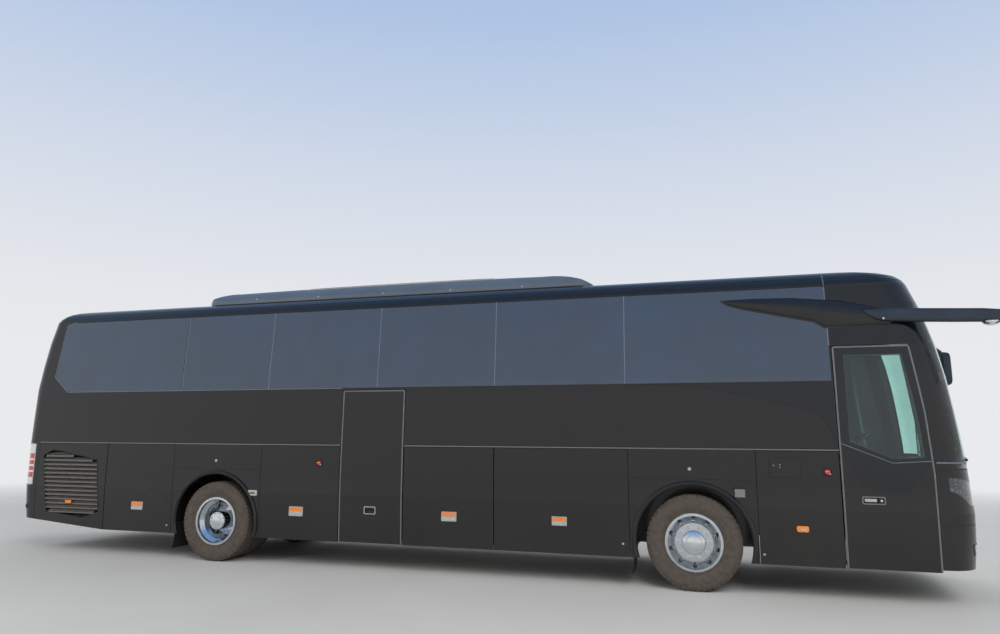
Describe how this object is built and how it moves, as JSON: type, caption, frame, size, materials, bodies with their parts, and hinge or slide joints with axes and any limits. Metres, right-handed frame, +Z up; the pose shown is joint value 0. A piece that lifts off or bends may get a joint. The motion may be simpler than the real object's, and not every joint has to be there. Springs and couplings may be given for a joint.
{
  "type": "coach bus",
  "caption": "High-deck touring coach with swing-out doors, top-hinged luggage flaps, louvred engine doors, steered front wheels and twin rear wheels.",
  "frame": {"origin": "on the ground, in the middle of the length over the mirrors and of the width", "axes": "+X forward, +Y to the left, +Z up"},
  "size_m": [12.785, 2.93, 3.68],
  "materials": {
    "body_paint": "satin anthracite coach enamel",
    "gloss_panel": "gloss black panel",
    "tinted_glass": "dark tinted safety glass",
    "clear_glass": "laminated windscreen",
    "roof_unit": "moulded roof unit",
    "mirror_black": "moulded mirror housing",
    "chassis": "chassis black",
    "cast_parts": "cast and forged running gear",
    "floor": "floor covering",
    "tyre": "black tyre",
    "rim": "bright wheel",
    "lamp": "clear lamp cover",
    "seat_fabric": "woven seat cover",
    "trim": "interior moulding",
    "arm_steel": "door arm"
  },
  "bodies": {
    "body": {"underframe": "chassis", "luggage_floor": "floor", "bulkheads": "chassis", "saloon_floor": "floor", "roof": "body_paint", "right_side_wall": "body_paint", "left_side_wall": "body_paint", "front_panel": "body_paint", "front_bumper": "body_paint", "rear_bumper": "body_paint", "rear_panel": "body_paint", "windscreen": "clear_glass", "side_windows": "tinted_glass", "rear_window": "tinted_glass", "arch_panels": "body_paint", "aircon_unit": "roof_unit", "mirrors": "mirror_black", "front_axle": "cast_parts", "rear_axle": "cast_parts", "engine": "cast_parts", "lamps": "lamp", "dashboard": "trim", "seats": "seat_fabric", "luggage_racks": "trim", "wipers": "mirror_black"},
    "front_left_knuckle": {"front_left_knuckle": "cast_parts"},
    "front_left_wheel": {"front_left_tyre": "tyre", "front_left_rim": "rim"},
    "rear_left_wheels": {"rear_left_tyres": "tyre", "rear_left_rims": "rim"},
    "front_right_knuckle": {"front_right_knuckle": "cast_parts"},
    "front_right_wheel": {"front_right_tyre": "tyre", "front_right_rim": "rim"},
    "rear_right_wheels": {"rear_right_tyres": "tyre", "rear_right_rims": "rim"},
    "steering_wheel": {"steering_wheel": "mirror_black"},
    "front_door_arm": {"front_door_arm": "arm_steel"},
    "front_door": {"front_door": "body_paint", "front_door_glass": "tinted_glass"},
    "mid_door_arm": {"mid_door_arm": "arm_steel"},
    "mid_door": {"mid_door": "body_paint"},
    "right_luggage_flap_1": {"right_luggage_flap_1": "body_paint"},
    "right_luggage_flap_2": {"right_luggage_flap_2": "body_paint"},
    "right_luggage_flap_3": {"right_luggage_flap_3": "body_paint"},
    "left_luggage_flap_1": {"left_luggage_flap_1": "body_paint"},
    "left_luggage_flap_2": {"left_luggage_flap_2": "body_paint"},
    "left_luggage_flap_3": {"left_luggage_flap_3": "body_paint"},
    "right_rear_service_flap": {"right_rear_service_flap": "body_paint"},
    "left_rear_service_flap": {"left_rear_service_flap": "body_paint"},
    "right_front_service_flap": {"right_front_service_flap": "body_paint"},
    "left_front_service_flap": {"left_front_service_flap": "body_paint"},
    "right_grille_door": {"right_grille_door": "body_paint"},
    "left_grille_door": {"left_grille_door": "body_paint"},
    "fuel_flap": {"fuel_flap": "body_paint"},
    "engine_lid": {"engine_lid": "body_paint"}
  },
  "joints": [
    {"name": "front_left_steer", "type": "hinge", "parent": "body", "child": "front_left_knuckle", "pos_m": [3.0525, 0.9, 0.51], "axis": [0, 0, 1], "range_deg": [-42, 42]},
    {"name": "front_left_spin", "type": "hinge", "parent": "front_left_knuckle", "child": "front_left_wheel", "pos_m": [3.0525, 1.066, 0.51], "axis": [0, 1, 0], "continuous": true},
    {"name": "rear_left_spin", "type": "hinge", "parent": "body", "child": "rear_left_wheels", "pos_m": [-3.0375, 0.9245, 0.51], "axis": [0, 1, 0], "continuous": true},
    {"name": "front_right_steer", "type": "hinge", "parent": "body", "child": "front_right_knuckle", "pos_m": [3.0525, -0.9, 0.51], "axis": [0, 0, 1], "range_deg": [-42, 42]},
    {"name": "front_right_spin", "type": "hinge", "parent": "front_right_knuckle", "child": "front_right_wheel", "pos_m": [3.0525, -1.066, 0.51], "axis": [0, 1, 0], "continuous": true},
    {"name": "rear_right_spin", "type": "hinge", "parent": "body", "child": "rear_right_wheels", "pos_m": [-3.0375, -0.9245, 0.51], "axis": [0, 1, 0], "continuous": true},
    {"name": "steering_wheel_turn", "type": "hinge", "parent": "body", "child": "steering_wheel", "pos_m": [5.0025, 0.62, 1.6], "axis": [-0.4695, 0, 0.8829], "range_deg": [-720, 720]},
    {"name": "front_door_swing", "type": "hinge", "parent": "body", "child": "front_door_arm", "pos_m": [5.3145, -1.165, 0.64], "axis": [0, 0, 1], "range_deg": [0, 155]},
    {"name": "front_door_follow", "type": "hinge", "parent": "front_door_arm", "child": "front_door", "pos_m": [4.9045, -1.165, 0.75], "axis": [0, 0, 1], "range_deg": [-155, 0]},
    {"name": "mid_door_swing", "type": "hinge", "parent": "body", "child": "mid_door_arm", "pos_m": [-1.1232, -1.165, 0.75], "axis": [0, 0, 1], "range_deg": [-155, 0]},
    {"name": "mid_door_follow", "type": "hinge", "parent": "mid_door_arm", "child": "mid_door", "pos_m": [-0.7132, -1.165, 0.75], "axis": [0, 0, 1], "range_deg": [0, 155]},
    {"name": "right_luggage_flap_1_lift", "type": "hinge", "parent": "body", "child": "right_luggage_flap_1", "pos_m": [-1.79135, -1.275, 1.4975], "axis": [-1, 0, 0], "range_deg": [0, 85]},
    {"name": "right_luggage_flap_2_lift", "type": "hinge", "parent": "body", "child": "right_luggage_flap_2", "pos_m": [0.22754, -1.275, 1.4975], "axis": [-1, 0, 0], "range_deg": [0, 85]},
    {"name": "right_luggage_flap_3_lift", "type": "hinge", "parent": "body", "child": "right_luggage_flap_3", "pos_m": [1.58989, -1.275, 1.4975], "axis": [-1, 0, 0], "range_deg": [0, 85]},
    {"name": "left_luggage_flap_1_lift", "type": "hinge", "parent": "body", "child": "left_luggage_flap_1", "pos_m": [-1.57435, 1.275, 1.4975], "axis": [1, 0, 0], "range_deg": [0, 85]},
    {"name": "left_luggage_flap_2_lift", "type": "hinge", "parent": "body", "child": "left_luggage_flap_2", "pos_m": [0.01054, 1.275, 1.4975], "axis": [1, 0, 0], "range_deg": [0, 85]},
    {"name": "left_luggage_flap_3_lift", "type": "hinge", "parent": "body", "child": "left_luggage_flap_3", "pos_m": [1.58989, 1.275, 1.4975], "axis": [1, 0, 0], "range_deg": [0, 85]},
    {"name": "right_rear_service_flap_lift", "type": "hinge", "parent": "body", "child": "right_rear_service_flap", "pos_m": [-4.2865, -1.275, 1.4975], "axis": [-1, 0, 0], "range_deg": [0, 85]},
    {"name": "left_rear_service_flap_lift", "type": "hinge", "parent": "body", "child": "left_rear_service_flap", "pos_m": [-4.2865, 1.275, 1.4975], "axis": [1, 0, 0], "range_deg": [0, 85]},
    {"name": "right_front_service_flap_lift", "type": "hinge", "parent": "body", "child": "right_front_service_flap", "pos_m": [4.13, -1.275, 1.4975], "axis": [-1, 0, 0], "range_deg": [0, 85]},
    {"name": "left_front_service_flap_lift", "type": "hinge", "parent": "body", "child": "left_front_service_flap", "pos_m": [4.13, 1.275, 1.4975], "axis": [1, 0, 0], "range_deg": [0, 85]},
    {"name": "right_grille_door_lift", "type": "hinge", "parent": "body", "child": "right_grille_door", "pos_m": [-5.472, -1.275, 1.4975], "axis": [-1, 0, 0], "range_deg": [0, 85]},
    {"name": "left_grille_door_lift", "type": "hinge", "parent": "body", "child": "left_grille_door", "pos_m": [-5.472, 1.275, 1.4975], "axis": [1, 0, 0], "range_deg": [0, 85]},
    {"name": "fuel_flap_swing", "type": "hinge", "parent": "right_front_service_flap", "child": "fuel_flap", "pos_m": [4.1645, -1.2734, 1.323], "axis": [0, 0, 1], "range_deg": [0, 110]},
    {"name": "engine_lid_lift", "type": "hinge", "parent": "body", "child": "engine_lid", "pos_m": [-6.3869, 0, 2.0475], "axis": [0, 1, 0], "range_deg": [0, 80]}
  ],
  "couplings": [
    {"joint": "front_right_steer", "follows": "front_left_steer", "ratio": 1},
    {"joint": "steering_wheel_turn", "follows": "front_left_steer", "ratio": 17},
    {"joint": "front_door_follow", "follows": "front_door_swing", "ratio": -1},
    {"joint": "mid_door_follow", "follows": "mid_door_swing", "ratio": -1}
  ]
}
